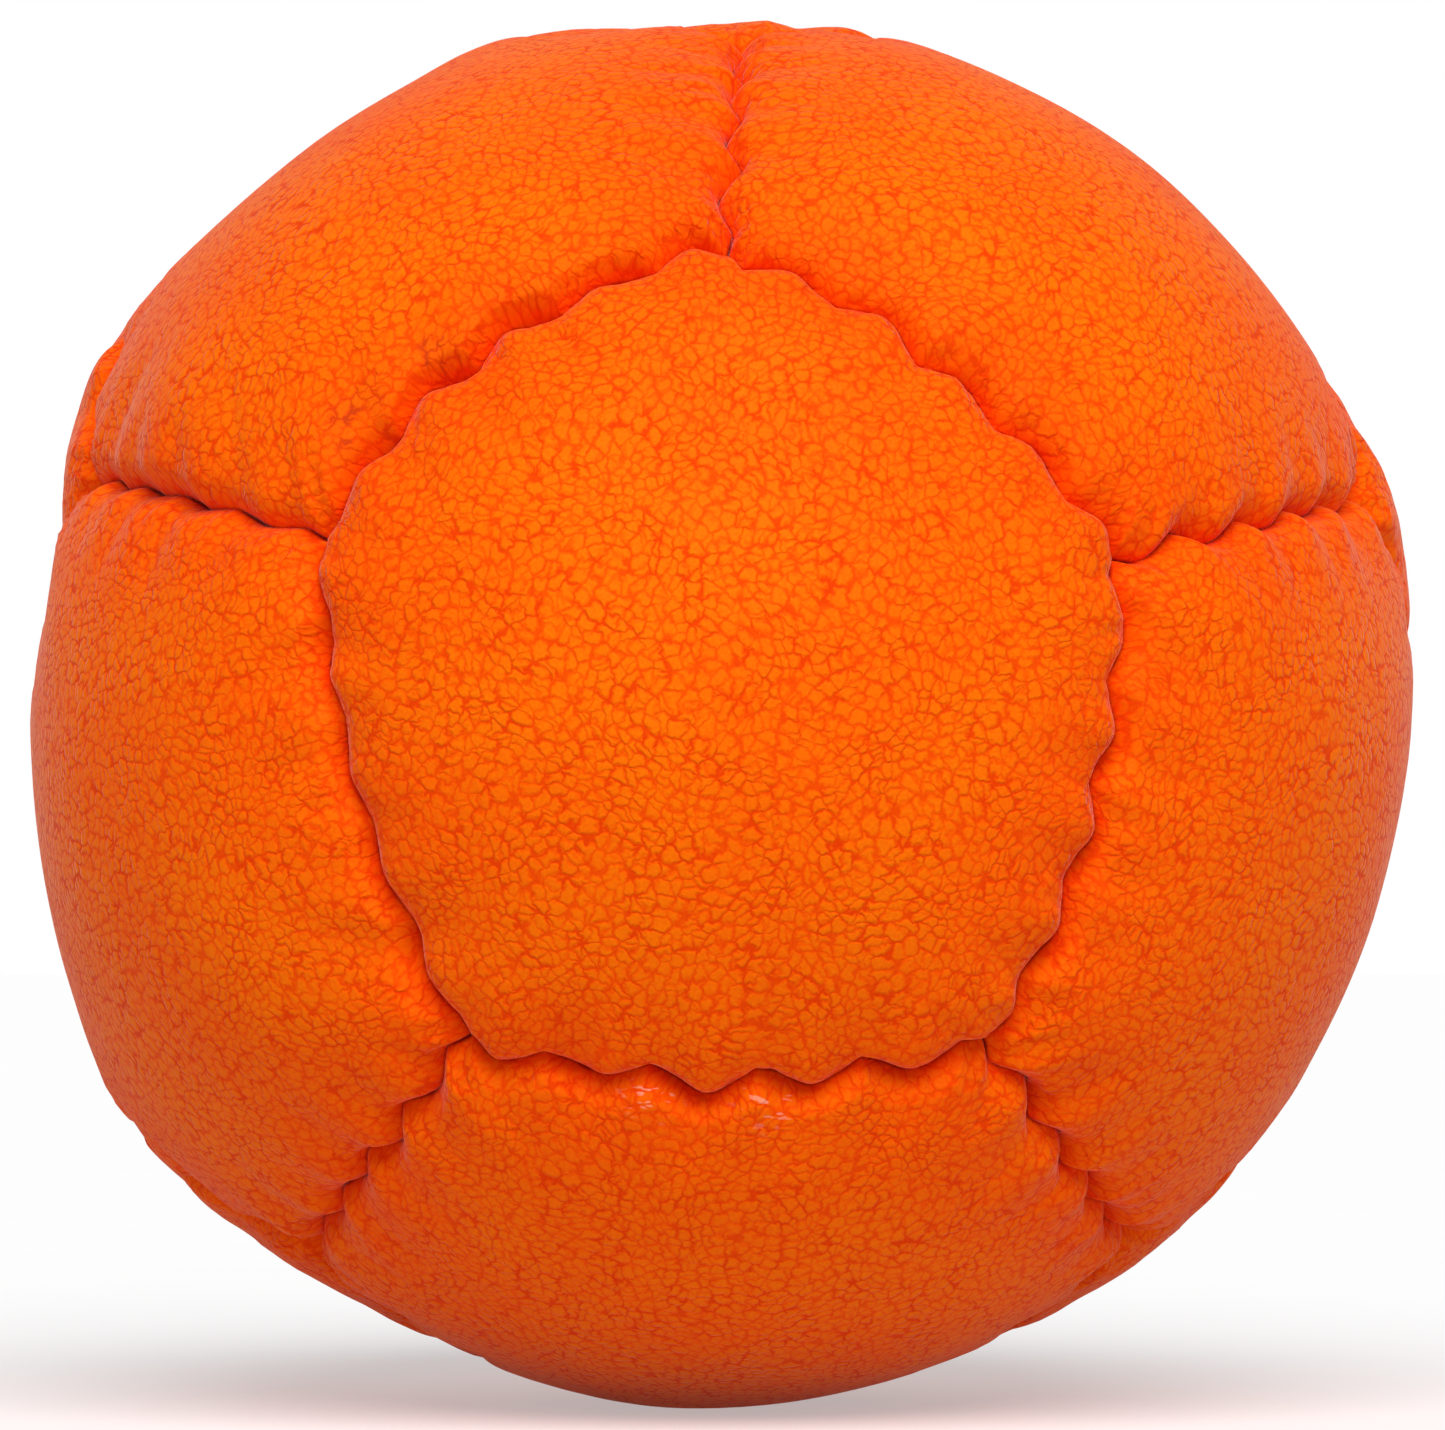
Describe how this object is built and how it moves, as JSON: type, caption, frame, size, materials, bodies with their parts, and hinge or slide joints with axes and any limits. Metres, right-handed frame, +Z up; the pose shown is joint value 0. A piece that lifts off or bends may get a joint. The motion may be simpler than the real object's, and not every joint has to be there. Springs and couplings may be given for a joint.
{
  "type": "lacrosse training ball",
  "caption": "Soft lacrosse training ball sewn from puffed pentagonal panels of grained synthetic leather, with scalloped seams and a firm filling.",
  "frame": {"origin": "centre of the ball", "axes": "+Z up, through the front panel's top corner side; the front panel faces -Y and +Y runs through the centre of the back panel; +X to the right as seen from the front"},
  "size_m": [0.0623, 0.064, 0.063],
  "materials": {
    "orange_leather": "bright orange pebble-grained synthetic leather, satin, with deeper red-orange in the valleys of the grain and along the seams",
    "granules": "matte packed granules",
    "orange_thread": "matte bonded sewing thread"
  },
  "bodies": {
    "root": {"front_panel": "orange_leather", "upper_right_panel": "orange_leather", "upper_left_panel": "orange_leather", "left_panel": "orange_leather", "bottom_panel": "orange_leather", "right_panel": "orange_leather", "back_top_panel": "orange_leather", "back_upper_left_panel": "orange_leather", "back_lower_left_panel": "orange_leather", "back_lower_right_panel": "orange_leather", "back_upper_right_panel": "orange_leather", "back_panel": "orange_leather", "filling": "granules", "seam_thread": "orange_thread"}
  },
  "joints": []
}
